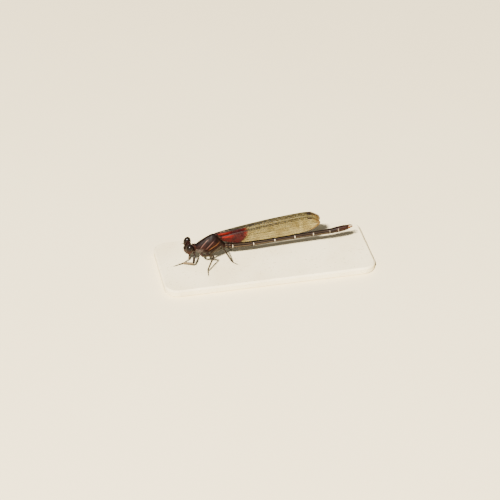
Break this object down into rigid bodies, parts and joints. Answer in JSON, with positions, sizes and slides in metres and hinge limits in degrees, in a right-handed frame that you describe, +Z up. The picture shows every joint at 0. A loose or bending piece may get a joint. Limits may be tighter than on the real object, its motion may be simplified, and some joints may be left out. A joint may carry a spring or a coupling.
{
  "type": "damselfly",
  "caption": "Life-size still damselfly with folded amber wings, red at their bases, and a long slender abdomen, on a plain flat base.",
  "frame": {"origin": "centre of the base's underside", "axes": "+X along the body towards the tail, +Y towards the insect's right side, +Z up"},
  "size_m": [0.054, 0.022, 0.0133],
  "materials": {
    "cuticle_bronze": "satin",
    "cuticle_dark": "satin",
    "leg": "satin",
    "eye": "gloss",
    "wing": "satin",
    "stand": "matte"
  },
  "bodies": {
    "root": {"stand_base": "stand", "head": "cuticle_bronze", "mouth": "cuticle_bronze", "prothorax": "cuticle_bronze", "thorax": "cuticle_bronze", "eye_left": "eye", "eye_right": "eye", "antenna_left": "cuticle_dark", "antenna_right": "cuticle_dark", "clasper_left": "cuticle_dark", "clasper_right": "cuticle_dark", "abdomen_01": "cuticle_dark", "abdomen_02": "cuticle_dark", "abdomen_03": "cuticle_dark", "abdomen_04": "cuticle_dark", "abdomen_05": "cuticle_dark", "abdomen_06": "cuticle_dark", "abdomen_07": "cuticle_dark", "abdomen_08": "cuticle_dark", "abdomen_09": "cuticle_dark", "abdomen_10": "cuticle_dark", "wing_fore_left": "wing", "wing_fore_right": "wing", "wing_hind_left": "wing", "wing_hind_right": "wing", "leg_front_left_coxa": "leg", "leg_front_left_femur": "leg", "leg_front_left_tibia": "leg", "leg_front_left_tarsus": "leg", "leg_front_right_coxa": "leg", "leg_front_right_femur": "leg", "leg_front_right_tibia": "leg", "leg_front_right_tarsus": "leg", "leg_middle_left_coxa": "leg", "leg_middle_left_femur": "leg", "leg_middle_left_tibia": "leg", "leg_middle_left_tarsus": "leg", "leg_middle_right_coxa": "leg", "leg_middle_right_femur": "leg", "leg_middle_right_tibia": "leg", "leg_middle_right_tarsus": "leg", "leg_hind_left_coxa": "leg", "leg_hind_left_femur": "leg", "leg_hind_left_tibia": "leg", "leg_hind_left_tarsus": "leg", "leg_hind_right_coxa": "leg", "leg_hind_right_femur": "leg", "leg_hind_right_tibia": "leg", "leg_hind_right_tarsus": "leg"}
  },
  "joints": []
}
